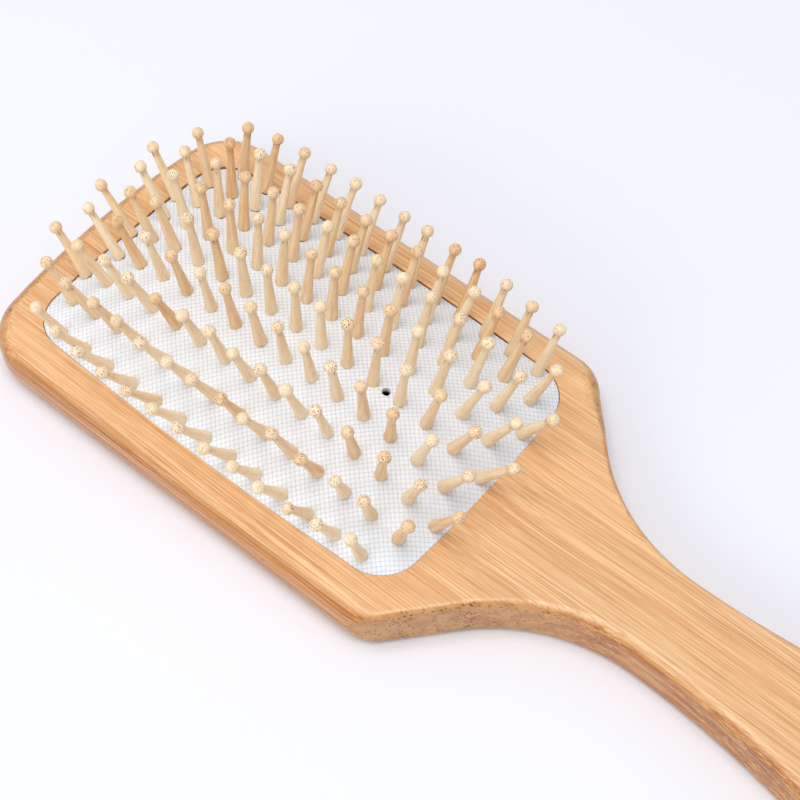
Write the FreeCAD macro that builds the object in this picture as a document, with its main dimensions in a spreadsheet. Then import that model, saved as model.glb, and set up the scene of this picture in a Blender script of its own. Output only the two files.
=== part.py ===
import FreeCAD, Part
import math
import os
import Sketcher

# Paddle brush with a pneumatic cushion. It lies on its flat back.
# Frame: +X runs from the head to the handle, +Y across the head and +Z out of the pins' side.
# The origin is at the middle of the whole length, on the centre line, at the back.

SIZES = [
    # bamboo body
    ("overall_length", 245.0),
    ("body_thickness", 12.5),
    ("head_back_round", 5.0),
    ("head_front_round", 4.5),
    ("shoulder_back_round", 2.2),
    ("shoulder_front_round", 1.6),
    ("handle_back_round", 5.0),
    ("handle_front_round", 2.5),
    ("head_half_width", 42.6),
    ("head_end_radius", 233.0),
    ("head_corner_round", 14.0),
    ("shoulder_corner_round", 11.0),
    ("shoulder_slope_degrees", 49.0),
    ("shoulder_sweep_radius", 46.0),
    ("neck_centre_x", 45.5),
    ("neck_half_width", 10.7),
    ("handle_flare_radius", 210.0),
    # pocket in the head, and the undercut that holds the cushion's flange
    ("pad_centre_x", -57.3),
    ("pocket_half_length", 55.2),
    ("pocket_half_width", 34.4),
    ("pocket_end_bow_radius", 450.0),
    ("pocket_side_bow_radius", 1000.0),
    ("pocket_corner_round", 10.0),
    ("pocket_depth", 7.0),
    ("pocket_overrun", 1.0),
    ("pocket_lip_round", 0.2),
    ("groove_depth", 1.8),
    ("groove_height", 2.2),
    # cushion
    ("crown_rise", 11.2),
    ("crown_edge_drop", 0.3),
    ("wall_clearance", 0.3),
    ("rubber_thickness", 1.3),
    ("rubber_wall", 1.8),
    ("flange_clearance", 0.1),
    ("fabric_thickness", 0.5),
    ("glue_gap", 0.03),
    ("vent_radius", 1.0),
    ("vent_offset_x", 26.25),
    # turned pins
    ("row_spacing", 3.75),
    ("line_spacing", 7.65),
    ("ball_height", 14.4),
    ("ball_radius", 1.5),
    ("pin_neck_radius", 0.86),
    ("pin_foot_radius", 1.5),
    ("pin_foot_round", 0.35),
    ("foot_gap", 0.05),
    ("stem_radius", 0.75),
    ("stem_length", 2.1),
    ("stem_head_radius", 1.3),
    ("stem_head_thickness", 0.8),
    ("hole_clearance", 0.12),
]

ROW_COUNT = 29
UP = FreeCAD.Vector(0, 0, 1)
ORIGIN_POINT = (-1, 1)
START, END, CENTRE = 1, 2, 3
LEVEL_TOLERANCE = 1e-6
SEARCH_MARGIN = 0.1

doc = FreeCAD.newDocument("paddle_brush")
sheet = doc.addObject("Spreadsheet::Sheet", "sizes")
for row_number, (word, value) in enumerate(SIZES, start=1):
    sheet.set("A%d" % row_number, word)
    sheet.set("B%d" % row_number, str(value))
    sheet.setAlias("B%d" % row_number, word)
doc.recompute()


def size(word):
    """A driving dimension, read from the sheet."""
    return float(sheet.get(word))


def bind(feature, prop, expression):
    """Tie a property to the sheet. Words in braces are the sheet's aliases."""
    feature.setExpression(prop, expression.replace("{", "sizes.").replace("}", ""))


def place(x, y, z, direction=UP):
    """A placement at a point, with local Z turned to a direction."""
    return FreeCAD.Placement(FreeCAD.Vector(x, y, z), FreeCAD.Rotation(UP, direction))


def arc(centre, radius, start_angle, end_angle):
    """A counterclockwise arc in the sketch plane, with its angles in radians."""
    circle = Part.Circle(FreeCAD.Vector(centre[0], centre[1], 0), UP, radius)
    return Part.ArcOfCircle(circle, start_angle, end_angle)


def line(first, last):
    return Part.LineSegment(FreeCAD.Vector(first[0], first[1], 0), FreeCAD.Vector(last[0], last[1], 0))


def dimension(sketch, kind, places, value, expression):
    """Add a driving dimension to a sketch and tie it to the sheet."""
    index = sketch.addConstraint(Sketcher.Constraint(kind, *places, value))
    bind(sketch, "Constraints[%d]" % index, expression)


def origin_plane(body, role):
    for feature in body.Origin.OriginFeatures:
        if feature.Role == role:
            return feature
    raise RuntimeError("no origin plane " + role)


def body_sketch(body, name):
    """A sketch on a body's own XY plane."""
    sketch = body.newObject("Sketcher::SketchObject", name)
    sketch.AttachmentSupport = [(origin_plane(body, "XY_Plane"), "")]
    sketch.MapMode = "FlatFace"
    return sketch


def draw_half_outline(sketch):
    """Draw the +Y half of the body's outline, closed along the centre line."""
    half_length = size("overall_length") / 2
    half_width = size("head_half_width")
    end_radius = size("head_end_radius")
    corner = size("head_corner_round")
    shoulder = size("shoulder_corner_round")
    slope = math.radians(size("shoulder_slope_degrees"))
    sweep = size("shoulder_sweep_radius")
    neck_x = size("neck_centre_x")
    neck_y = size("neck_half_width")
    flare = size("handle_flare_radius")

    end_centre_x = end_radius - half_length
    corner_y = half_width - corner
    corner_x = end_centre_x - math.sqrt((end_radius - corner) ** 2 - corner_y**2)
    corner_angle = math.atan2(corner_y, corner_x - end_centre_x)

    sweep_y = neck_y + sweep
    diagonal_low = (neck_x - sweep * math.sin(slope), sweep_y - sweep * math.cos(slope))
    apex_x = diagonal_low[0] - (half_width - diagonal_low[1]) / math.tan(slope)
    tangent_length = shoulder * math.tan(slope / 2)
    shoulder_x = apex_x - tangent_length
    diagonal_high = (
        apex_x + tangent_length * math.cos(slope),
        half_width - tangent_length * math.sin(slope),
    )

    flare_y = neck_y + flare
    run = half_length - neck_x
    tip_radius = (run**2 + flare_y**2 - flare**2) / (2 * (flare + run))
    tip_x = half_length - tip_radius
    tip_angle = math.atan2(flare_y, neck_x - tip_x)

    right, left = 0.0, math.pi
    pieces = [
        arc((end_centre_x, 0), end_radius, corner_angle, left),
        arc((corner_x, corner_y), corner, math.pi / 2, corner_angle),
        line((corner_x, half_width), (shoulder_x, half_width)),
        arc((shoulder_x, half_width - shoulder), shoulder, math.pi / 2 - slope, math.pi / 2),
        line(diagonal_high, diagonal_low),
        arc((neck_x, sweep_y), sweep, 1.5 * math.pi - slope, 1.5 * math.pi),
        arc((neck_x, flare_y), flare, 1.5 * math.pi, tip_angle + math.pi),
        arc((tip_x, 0), tip_radius, right, tip_angle),
        line((half_length, 0), (-half_length, 0)),
    ]
    head_arc, corner_arc, side, shoulder_arc, diagonal, sweep_arc, flare_arc, tip_arc, axis = [
        sketch.addGeometry(piece) for piece in pieces
    ]
    joins = [
        (head_arc, START, corner_arc, END),
        (corner_arc, START, side, START),
        (side, END, shoulder_arc, END),
        (shoulder_arc, START, diagonal, START),
        (diagonal, END, sweep_arc, START),
        (sweep_arc, END, flare_arc, START),
        (flare_arc, END, tip_arc, END),
    ]
    for join in joins:
        sketch.addConstraint(Sketcher.Constraint("Tangent", *join))
    sketch.addConstraint(Sketcher.Constraint("Coincident", head_arc, END, axis, END))
    sketch.addConstraint(Sketcher.Constraint("Coincident", tip_arc, START, axis, START))
    for geometry, point in ((head_arc, CENTRE), (tip_arc, CENTRE), (axis, START), (axis, END)):
        sketch.addConstraint(Sketcher.Constraint("PointOnObject", geometry, point, -1))
    sketch.addConstraint(Sketcher.Constraint("Horizontal", side))

    dimension(sketch, "Radius", (head_arc,), end_radius, "{head_end_radius}")
    dimension(sketch, "Radius", (corner_arc,), corner, "{head_corner_round}")
    dimension(sketch, "Radius", (shoulder_arc,), shoulder, "{shoulder_corner_round}")
    dimension(sketch, "Radius", (sweep_arc,), sweep, "{shoulder_sweep_radius}")
    dimension(sketch, "Radius", (flare_arc,), flare, "{handle_flare_radius}")
    dimension(sketch, "DistanceY", (*ORIGIN_POINT, side, START), half_width, "{head_half_width}")
    dimension(sketch, "DistanceX", (axis, END, *ORIGIN_POINT), half_length, "{overall_length} / 2")
    dimension(sketch, "DistanceX", (*ORIGIN_POINT, axis, START), half_length, "{overall_length} / 2")
    dimension(sketch, "DistanceX", (*ORIGIN_POINT, sweep_arc, CENTRE), neck_x, "{neck_centre_x}")
    dimension(sketch, "DistanceX", (*ORIGIN_POINT, sweep_arc, END), neck_x, "{neck_centre_x}")
    dimension(sketch, "DistanceY", (*ORIGIN_POINT, sweep_arc, END), neck_y, "{neck_half_width}")
    dimension(sketch, "Angle", (diagonal,), -slope, "-{shoulder_slope_degrees} * 1 deg")


def draw_pad_outline(sketch, grow_words):
    """Draw the cushion's rounded outline with bowed sides, grown outward by a sum of sizes.

    grow_words lists (sign, word): the outline moves outward by the sum of sign times size.
    """
    grow = sum(sign * size(word) for sign, word in grow_words)
    grow_text = "".join(" %s {%s}" % ("+" if sign > 0 else "-", word) for sign, word in grow_words)
    centre_x = size("pad_centre_x")
    half_length = size("pocket_half_length")
    half_width = size("pocket_half_width")
    end_bow = size("pocket_end_bow_radius")
    side_bow = size("pocket_side_bow_radius")
    corner = size("pocket_corner_round")

    end_offset = end_bow - half_length
    side_offset = side_bow - half_width
    end_reach = end_bow - corner
    side_reach = side_bow - corner
    # The corner's centre lies on circles about the centres of both bows.
    span = math.hypot(end_offset, side_offset)
    along = (end_reach**2 - side_reach**2 + span**2) / (2 * span)
    away = math.sqrt(end_reach**2 - along**2)
    unit_x, unit_y = end_offset / span, -side_offset / span
    corner_x = -end_offset + along * unit_x - away * unit_y
    corner_y = along * unit_y + away * unit_x
    end_angle = math.atan2(corner_y, corner_x + end_offset)
    side_angle = math.atan2(corner_y + side_offset, corner_x)

    def mirrored(angle):
        return math.pi - angle

    end_r, side_r, corner_r = end_bow + grow, side_bow + grow, corner + grow
    handle_end = arc((centre_x - end_offset, 0), end_r, -end_angle, end_angle)
    far_side = arc((centre_x, -side_offset), side_r, side_angle, mirrored(side_angle))
    head_end = arc((centre_x + end_offset, 0), end_r, mirrored(end_angle), math.pi + end_angle)
    near_side = arc((centre_x, side_offset), side_r, math.pi + side_angle, -side_angle)
    corners = [
        arc((centre_x + corner_x, corner_y), corner_r, end_angle, side_angle),
        arc((centre_x - corner_x, corner_y), corner_r, mirrored(side_angle), mirrored(end_angle)),
        arc((centre_x - corner_x, -corner_y), corner_r, math.pi + end_angle, math.pi + side_angle),
        arc((centre_x + corner_x, -corner_y), corner_r, -side_angle, -end_angle),
    ]
    loop = [handle_end, corners[0], far_side, corners[1], head_end, corners[2], near_side, corners[3]]
    ids = [sketch.addGeometry(piece) for piece in loop]
    for first, following in zip(ids, ids[1:] + ids[:1]):
        sketch.addConstraint(Sketcher.Constraint("Tangent", first, END, following, START))
    handle_id, far_id, head_id, near_id = ids[0], ids[2], ids[4], ids[6]
    for geometry in (handle_id, head_id):
        sketch.addConstraint(Sketcher.Constraint("PointOnObject", geometry, CENTRE, -1))
        dimension(sketch, "Radius", (geometry,), end_r, "{pocket_end_bow_radius}" + grow_text)
    for geometry in (far_id, near_id):
        dimension(sketch, "Radius", (geometry,), side_r, "{pocket_side_bow_radius}" + grow_text)
        dimension(sketch, "DistanceX", (geometry, CENTRE, *ORIGIN_POINT), -centre_x, "-{pad_centre_x}")
    for geometry in ids[1::2]:
        dimension(sketch, "Radius", (geometry,), corner_r, "{pocket_corner_round}" + grow_text)
    side_text = "{pocket_side_bow_radius} - {pocket_half_width}"
    dimension(sketch, "DistanceY", (far_id, CENTRE, *ORIGIN_POINT), side_offset, side_text)
    dimension(sketch, "DistanceY", (*ORIGIN_POINT, near_id, CENTRE), side_offset, side_text)
    handle_text = "{pocket_end_bow_radius} - {pocket_half_length} - {pad_centre_x}"
    head_text = "{pocket_end_bow_radius} - {pocket_half_length} + {pad_centre_x}"
    handle_value = end_offset - centre_x
    head_value = end_offset + centre_x
    dimension(sketch, "DistanceX", (handle_id, CENTRE, *ORIGIN_POINT), handle_value, handle_text)
    dimension(sketch, "DistanceX", (*ORIGIN_POINT, head_id, CENTRE), head_value, head_text)


def edge_radius(side, x):
    """Radius of the back or front edge at x. It differs between head, shoulders and handle."""
    if x < size("pad_centre_x") + size("pocket_half_length"):
        return size("head_%s_round" % side)
    if x < size("neck_centre_x") + SEARCH_MARGIN:
        return size("shoulder_%s_round" % side)
    return size("handle_%s_round" % side)


def rounded_rim(name, board, side, level):
    """Round the board's rim at a level, with a radius that changes evenly along the edges between."""
    rim = []
    for number, edge in enumerate(board.Shape.Edges, start=1):
        if all(abs(vertex.Z - level) < LEVEL_TOLERANCE for vertex in edge.Vertexes):
            first = edge_radius(side, edge.Vertexes[0].X)
            last = edge_radius(side, edge.Vertexes[-1].X)
            rim.append((number, first, last))
    rounded = doc.addObject("Part::Fillet", name)
    rounded.Base = board
    rounded.Edges = rim
    doc.recompute()
    return rounded


def rounded_mouth(name, board, level):
    """Round the pocket's mouth, so that no sharp lip is left."""
    mouth = []
    for number, edge in enumerate(board.Shape.Edges, start=1):
        middle = edge.CenterOfMass
        at_level = all(abs(vertex.Z - level) < LEVEL_TOLERANCE for vertex in edge.Vertexes)
        near_x = abs(middle.x - size("pad_centre_x")) < size("pocket_half_length") + SEARCH_MARGIN
        near_y = abs(middle.y) < size("pocket_half_width") + SEARCH_MARGIN
        if at_level and near_x and near_y:
            mouth.append((number, size("pocket_lip_round"), size("pocket_lip_round")))
    lip = doc.addObject("Part::Fillet", name)
    lip.Base = board
    lip.Edges = mouth
    doc.recompute()
    return lip


def build_bamboo_body():
    """Paddle and handle, routed from one board, with the cushion's pocket."""
    body = doc.addObject("PartDesign::Body", "board_blank")
    outline = body_sketch(body, "half_outline")
    draw_half_outline(outline)
    half = body.newObject("PartDesign::Pad", "half_board")
    half.Profile = outline
    bind(half, "Length", "{body_thickness}")
    doc.recompute()
    whole = body.newObject("PartDesign::Mirrored", "whole_board")
    whole.Originals = [half]
    whole.MirrorPlane = (origin_plane(body, "XZ_Plane"), [""])
    body.Tip = whole
    doc.recompute()

    thickness = size("body_thickness")
    back = rounded_rim("rounded_back", body, "back", 0.0)
    board = rounded_rim("rounded_front", back, "front", thickness)

    floor = "{body_thickness} - {pocket_depth}"
    pocket = pad_prism("pocket_form", [], floor, "{pocket_depth} + {pocket_overrun}")
    hollowed = combine("Part::Cut", "cushion_pocket", board, pocket)
    doc.recompute()
    lip = rounded_mouth("pocket_lip", hollowed, thickness)
    groove = pad_prism("groove_form", [(1, "groove_depth")], floor, "{groove_height}")
    feature = combine("Part::Cut", "bamboo_body", lip, groove)
    doc.recompute()
    if not feature.Shape.Volume < hollowed.Shape.Volume < board.Shape.Volume < body.Shape.Volume:
        raise RuntimeError("a cut in the body removes nothing")
    feature.Label = "bamboo_body"
    return feature


def pad_prism(name, grow_words, bottom_expression, height_expression):
    """An upright prism on the cushion's outline."""
    sketch = doc.addObject("Sketcher::SketchObject", name + "_sketch")
    bind(sketch, "Placement.Base.z", bottom_expression)
    draw_pad_outline(sketch, grow_words)
    prism = doc.addObject("Part::Extrusion", name)
    prism.Base = sketch
    prism.DirMode = "Custom"
    prism.Dir = UP
    prism.Solid = True
    bind(prism, "LengthFwd", height_expression)
    return prism


def crown_height(x, y):
    """Height of the cushion's top at a point measured from the pad's centre."""
    edge = size("body_thickness") - size("crown_edge_drop")
    lengthwise = 1 - (x / size("pocket_half_length")) ** 4
    crosswise = 1 - (y / size("pocket_half_width")) ** 2
    return edge + size("crown_rise") * lengthwise * crosswise


def crown_normal(x, y):
    """Outward unit normal of the cushion's top."""
    half_length = size("pocket_half_length")
    half_width = size("pocket_half_width")
    rise = size("crown_rise")
    slope_x = -4 * rise * x**3 / half_length**4 * (1 - (y / half_width) ** 2)
    slope_y = -2 * rise * y / half_width**2 * (1 - (x / half_length) ** 4)
    normal = FreeCAD.Vector(-slope_x, -slope_y, 1)
    normal.normalize()
    return normal


def crown_sheet(name):
    """The crown as one Bezier patch, of degree 4 along X and 2 along Y.

    The heights' product form has exact poles: over a symmetric span the poles of the highest
    power alternate in sign.
    """
    margin = 2.0
    half_x = size("pocket_half_length") + margin
    half_y = size("pocket_half_width") + margin
    power_x = (half_x / size("pocket_half_length")) ** 4
    power_y = (half_y / size("pocket_half_width")) ** 2
    edge = size("body_thickness") - size("crown_edge_drop")
    surface = Part.BezierSurface()
    surface.increase(4, 2)
    for i in range(5):
        for j in range(3):
            x = size("pad_centre_x") + half_x * (i / 2 - 1)
            y = half_y * (j - 1)
            lengthwise = 1 - power_x * (-1) ** i
            crosswise = 1 - power_y * (-1) ** j
            z = edge + size("crown_rise") * lengthwise * crosswise
            surface.setPole(i + 1, j + 1, FreeCAD.Vector(x, y, z))
    sheet_feature = doc.addObject("Part::Feature", name)
    sheet_feature.Shape = surface.toShape()
    return sheet_feature


def under_crown(name, drop_words, depth_expression):
    """The solid below the crown, lowered by a sum of sizes."""
    patch = crown_sheet(name + "_patch")
    patch.Placement = place(0, 0, -sum(size(word) for word in drop_words))
    solid = doc.addObject("Part::Extrusion", name)
    solid.Base = patch
    solid.DirMode = "Custom"
    solid.Dir = FreeCAD.Vector(0, 0, -1)
    solid.Solid = False
    bind(solid, "LengthFwd", depth_expression)
    return solid


def combine(kind, name, first, second):
    feature = doc.addObject(kind, name)
    if kind == "Part::MultiFuse":
        feature.Shapes = [first, second]
    else:
        feature.Base = first
        feature.Tool = second
    return feature


def pins_in_row(row):
    """Places of the pins of one cross row, from the pad's centre: 3, 4 or 5 pins."""
    middle = (ROW_COUNT - 1) // 2
    x = (row - middle) * size("row_spacing")
    if row % 2:
        lines = (-3, -1, 1, 3)
    elif row in (0, ROW_COUNT - 1):
        lines = (-2, 0, 2)
    else:
        lines = (-4, -2, 0, 2, 4)
    return [(x, line_number * size("line_spacing")) for line_number in lines]


def pin_placement(x, y):
    """A pin stands on the cushion's top, square to it."""
    normal = crown_normal(x, y)
    foot = FreeCAD.Vector(size("pad_centre_x") + x, y, crown_height(x, y)) + normal * size("foot_gap")
    return place(foot.x, foot.y, foot.z, normal)


def cushion_holes():
    """Drill for the pins' stems and the vent, as one tool."""
    radius = size("stem_radius") + size("hole_clearance")
    reach = 4.0
    base = FreeCAD.Vector(0, 0, -reach)
    drills = []
    for row in range(ROW_COUNT):
        for x, y in pins_in_row(row):
            drill = Part.makeCylinder(radius, 1.5 * reach, base)
            drill.Placement = pin_placement(x, y)
            drills.append(drill)
    vent_x = size("vent_offset_x")
    vent = Part.makeCylinder(size("vent_radius"), 2 * reach, base)
    vent.Placement = place(size("pad_centre_x") + vent_x, 0, crown_height(vent_x, 0))
    drills.append(vent)
    holes = doc.addObject("Part::Feature", "cushion_holes")
    holes.Shape = Part.makeCompound(drills)
    return holes


def build_cushion(holes):
    """Rubber bladder with a flange in the body's groove, and the woven facing glued on it."""
    floor = "{body_thickness} - {pocket_depth} + {flange_clearance}"
    inset = [(-1, "wall_clearance")]
    inner = [(-1, "wall_clearance"), (-1, "rubber_wall")]
    flange_reach = [(1, "groove_depth"), (-1, "wall_clearance")]
    tall = "{body_thickness} + {crown_rise}"
    facing = ("fabric_thickness", "glue_gap")

    outer = combine(
        "Part::Common",
        "bladder_outside",
        pad_prism("bladder_prism", inset, floor, tall),
        under_crown("bladder_crown", facing, "3 * {body_thickness}"),
    )
    cavity = combine(
        "Part::Common",
        "bladder_inside",
        pad_prism("cavity_prism", inner, "0", tall),
        under_crown("cavity_crown", facing + ("rubber_thickness",), "3 * {body_thickness}"),
    )
    flange_height = "{groove_height} - 2 * {flange_clearance}"
    flange = pad_prism("flange_prism", flange_reach, floor, flange_height)
    filled = combine("Part::MultiFuse", "filled_bladder", outer, flange)
    bladder = combine("Part::Cut", "plain_bladder", filled, cavity)
    rubber = combine("Part::Cut", "rubber_cushion", bladder, holes)

    cloth = combine(
        "Part::Common",
        "plain_facing",
        pad_prism("facing_prism", inset, floor, tall),
        under_crown("facing_slab", (), "{fabric_thickness}"),
    )
    facing_cut = combine("Part::Cut", "cushion_fabric", cloth, holes)
    doc.recompute()
    return [rubber, facing_cut]


def build_pin_blank():
    """One turned pin: stem head, stem, flared foot, neck and ball, along Z from its foot."""
    ball_height = size("ball_height")
    ball = size("ball_radius")
    neck = size("pin_neck_radius")
    foot = size("pin_foot_radius")
    foot_round = size("pin_foot_round")
    stem = size("stem_radius")
    head = size("stem_head_radius")
    under = -size("stem_length")
    bottom = under - size("stem_head_thickness")
    neck_z = ball_height - math.sqrt(ball**2 - neck**2)
    swell = foot - neck
    flare_radius = (swell**2 + (neck_z - foot_round) ** 2) / (2 * swell)
    flare_angle = math.asin((neck_z - foot_round) / flare_radius)

    pieces = [
        line((0, bottom), (head, bottom)),
        line((head, bottom), (head, under)),
        line((head, under), (stem, under)),
        line((stem, under), (stem, 0)),
        line((stem, 0), (foot - foot_round, 0)),
        arc((foot - foot_round, foot_round), foot_round, -math.pi / 2, 0),
        arc((neck + flare_radius, neck_z), flare_radius, math.pi, math.pi + flare_angle),
        arc((0, ball_height), ball, math.atan2(neck_z - ball_height, neck), math.pi / 2),
        line((0, ball_height + ball), (0, bottom)),
    ]
    profile = doc.addObject("Sketcher::SketchObject", "pin_profile")
    profile.Placement = FreeCAD.Placement(FreeCAD.Vector(), FreeCAD.Rotation(FreeCAD.Vector(1, 0, 0), 90))
    base, rim, step, shank, seat, foot_arc, flare_arc, ball_arc, axis = [
        profile.addGeometry(piece) for piece in pieces
    ]
    joins = [
        (base, END, rim, START),
        (rim, END, step, START),
        (step, END, shank, START),
        (shank, END, seat, START),
        (seat, END, foot_arc, START),
        (foot_arc, END, flare_arc, END),
        (flare_arc, START, ball_arc, START),
        (ball_arc, END, axis, START),
        (axis, END, base, START),
    ]
    for join in joins:
        profile.addConstraint(Sketcher.Constraint("Coincident", *join))
    for level in (base, step, seat):
        profile.addConstraint(Sketcher.Constraint("Horizontal", level))
    for upright in (rim, shank):
        profile.addConstraint(Sketcher.Constraint("Vertical", upright))
    for geometry, point in ((axis, START), (axis, END), (ball_arc, CENTRE)):
        profile.addConstraint(Sketcher.Constraint("PointOnObject", geometry, point, -2))
    profile.addConstraint(Sketcher.Constraint("PointOnObject", seat, START, -1))

    bottom_text = "{stem_length} + {stem_head_thickness}"
    round_text = "{pin_foot_radius} - {pin_foot_round}"
    dimension(profile, "DistanceX", (*ORIGIN_POINT, rim, START), head, "{stem_head_radius}")
    dimension(profile, "DistanceX", (*ORIGIN_POINT, shank, START), stem, "{stem_radius}")
    dimension(profile, "DistanceX", (*ORIGIN_POINT, foot_arc, CENTRE), foot - foot_round, round_text)
    dimension(profile, "DistanceX", (*ORIGIN_POINT, seat, END), foot - foot_round, round_text)
    dimension(profile, "Radius", (foot_arc,), foot_round, "{pin_foot_round}")
    dimension(profile, "DistanceX", (*ORIGIN_POINT, ball_arc, START), neck, "{pin_neck_radius}")
    dimension(profile, "Radius", (ball_arc,), ball, "{ball_radius}")
    dimension(profile, "DistanceY", (*ORIGIN_POINT, ball_arc, CENTRE), ball_height, "{ball_height}")
    dimension(profile, "DistanceY", (axis, END, *ORIGIN_POINT), -bottom, bottom_text)
    dimension(profile, "DistanceY", (step, START, *ORIGIN_POINT), -under, "{stem_length}")
    # The foot's round and the flare both end parallel to the pin's axis.
    profile.addConstraint(Sketcher.Constraint("Horizontal", foot_arc, CENTRE, foot_arc, END))
    profile.addConstraint(Sketcher.Constraint("Horizontal", flare_arc, CENTRE, flare_arc, START))
    blank = doc.addObject("Part::Revolution", "pin_blank")
    blank.Source = profile
    blank.Axis = UP
    blank.Angle = 360
    blank.Solid = True
    doc.recompute()
    return blank


def build_pin_rows(blank):
    """One object for each cross row, each pin a solid of its own."""
    rows = []
    for row in range(ROW_COUNT):
        pins = []
        for x, y in pins_in_row(row):
            pin = blank.Shape.copy()
            pin.Placement = pin_placement(x, y)
            pins.append(pin)
        feature = doc.addObject("Part::Feature", "pin_row_%02d" % (row + 1))
        feature.Shape = Part.makeCompound(pins)
        feature.Label = feature.Name
        rows.append(feature)
    return rows


bamboo = build_bamboo_body()
cushion_parts = build_cushion(cushion_holes())
pin_rows = build_pin_rows(build_pin_blank())
sub_parts = [bamboo] + cushion_parts + pin_rows
doc.recompute()

for feature in doc.Objects:
    if "Invalid" in feature.State or "Error" in feature.State:
        raise RuntimeError(feature.Name + " failed: " + str(feature.State))
for feature in sub_parts:
    if feature.Shape.isNull() or not feature.Shape.isValid():
        raise RuntimeError(feature.Label + " has no valid shape")

os.makedirs("parts", exist_ok=True)
for feature in sub_parts:
    feature.Shape.exportStep("parts/%s.step" % feature.Label)
    print(feature.Label, len(feature.Shape.Solids), round(feature.Shape.Volume, 1), feature.Shape.BoundBox)
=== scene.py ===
"""Looks of the paddle brush: bamboo board, woven cloth over the rubber cushion, and turned pins."""

import math
import random

import bpy
import numpy as np
from mathutils import Matrix, Vector


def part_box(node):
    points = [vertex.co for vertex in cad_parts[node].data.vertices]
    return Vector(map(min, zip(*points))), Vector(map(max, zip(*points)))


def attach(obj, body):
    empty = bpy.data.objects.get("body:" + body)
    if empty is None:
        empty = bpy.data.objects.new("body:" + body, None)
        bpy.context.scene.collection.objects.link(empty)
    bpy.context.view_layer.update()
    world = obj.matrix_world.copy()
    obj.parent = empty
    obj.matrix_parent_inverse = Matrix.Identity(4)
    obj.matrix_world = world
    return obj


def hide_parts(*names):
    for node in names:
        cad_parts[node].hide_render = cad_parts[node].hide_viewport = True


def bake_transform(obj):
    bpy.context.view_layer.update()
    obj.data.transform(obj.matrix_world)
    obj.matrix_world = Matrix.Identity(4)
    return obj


MM = 0.001
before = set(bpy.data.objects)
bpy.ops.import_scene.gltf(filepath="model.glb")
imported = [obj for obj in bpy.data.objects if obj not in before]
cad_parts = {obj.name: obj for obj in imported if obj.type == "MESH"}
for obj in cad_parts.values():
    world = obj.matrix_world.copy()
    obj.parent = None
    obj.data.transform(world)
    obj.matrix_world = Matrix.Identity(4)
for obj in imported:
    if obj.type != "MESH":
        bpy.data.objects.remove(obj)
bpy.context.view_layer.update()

# ---------------------------------------------------------------- sizes, in metres
_, board_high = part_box("bamboo_body")
cloth_low, cloth_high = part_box("cushion_fabric")
rubber_low, rubber_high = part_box("rubber_cushion")
PAD_X = (cloth_low.x + cloth_high.x) / 2

# The pocket: its half length and half width, and the radii of its bowed outline.
WALL_CLEARANCE = 0.3 * MM
POCKET_LENGTH = (cloth_high.x - cloth_low.x) / 2 + WALL_CLEARANCE
POCKET_WIDTH = (cloth_high.y - cloth_low.y) / 2 + WALL_CLEARANCE
END_BOW, SIDE_BOW, POCKET_CORNER = 450 * MM, 1000 * MM, 10 * MM
END_OFFSET, SIDE_OFFSET = END_BOW - POCKET_LENGTH, SIDE_BOW - POCKET_WIDTH
SLOPE_STEP = 0.01 * MM

# The cushion: its crown, the cloth's rim, and the rubber with its flange.
CROWN_EDGE = board_high.z - 0.3 * MM
CROWN_RISE = cloth_high.z - CROWN_EDGE
RIM_GAP, RIM_REACH = 0.03 * MM, 4.0 * MM
SEAT_GAP, SEAT_RISE = 0.3 * MM, 0.28 * MM
SEAT_TILT, SEAT_LOOSE = 0.35, 0.35
HEM_TURN, HEM_FOOT, HEM_TUCK = 0.35 * MM, 1.3 * MM, 0.25 * MM
CLOTH_THICKNESS, RUBBER_DEPTH, RUBBER_THICKNESS = 0.5 * MM, 0.65 * MM, 1.2 * MM
RUBBER_WALL, WALL_SWEEP, RUBBER_STEP = 1.8 * MM, 5 * MM, 0.45 * MM
FLANGE_REACH = (rubber_high.x - rubber_low.x) / 2 - POCKET_LENGTH + WALL_CLEARANCE
FLANGE_TOP = rubber_low.z + 2.0 * MM
VENT_X, VENT_RADIUS = PAD_X + 26.25 * MM, 1.0 * MM
WEAVE_PITCH, WEAVE_DEPTH, WEAVE_ANGLE = 0.98 * MM, 0.26 * MM, math.radians(45)
THREAD_LEVEL, THREAD_SWING = 0.62, 0.38
CLOTH_STEP = WEAVE_PITCH * math.sqrt(2) / 6

# The cloth simulation.
PRESSED_STEP, PRESSED_SCALE, PRESSED_FRAMES = 1.25 * MM, 10.0, 15
PRESSED_QUALITY, CLOTH_STIFFNESS, AIR_PRESSURE = 6, 12, 3.0
RIM_HELD, FOOT_HELD, MOST_LIFT = 1.2, 0.1 * MM, 0.35 * MM

# The pins, with heights from the cloth.
BALL_HEIGHT, BALL_RADIUS, NECK_RADIUS = 14.4 * MM, 1.5 * MM, 0.86 * MM
FOOT_RADIUS, FOOT_ROUND, FOOT_SINK = 1.5 * MM, 0.15 * MM, 0.2 * MM
STEM_RADIUS, STEM_LENGTH = 0.75 * MM, 2.1 * MM
STEM_HEAD_RADIUS, STEM_HEAD_THICKNESS = 1.3 * MM, 0.8 * MM
STEM_HOLE_RADIUS = STEM_HEAD_RADIUS - 0.15 * MM
PIN_SIDES, FLARE_RINGS, BALL_RINGS, FLARE_POWER = 20, 9, 10, 1.25
SAME_POINT = 0.001 * MM
PIN_ROWS = sorted(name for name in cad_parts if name.startswith("pin_row_"))

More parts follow.
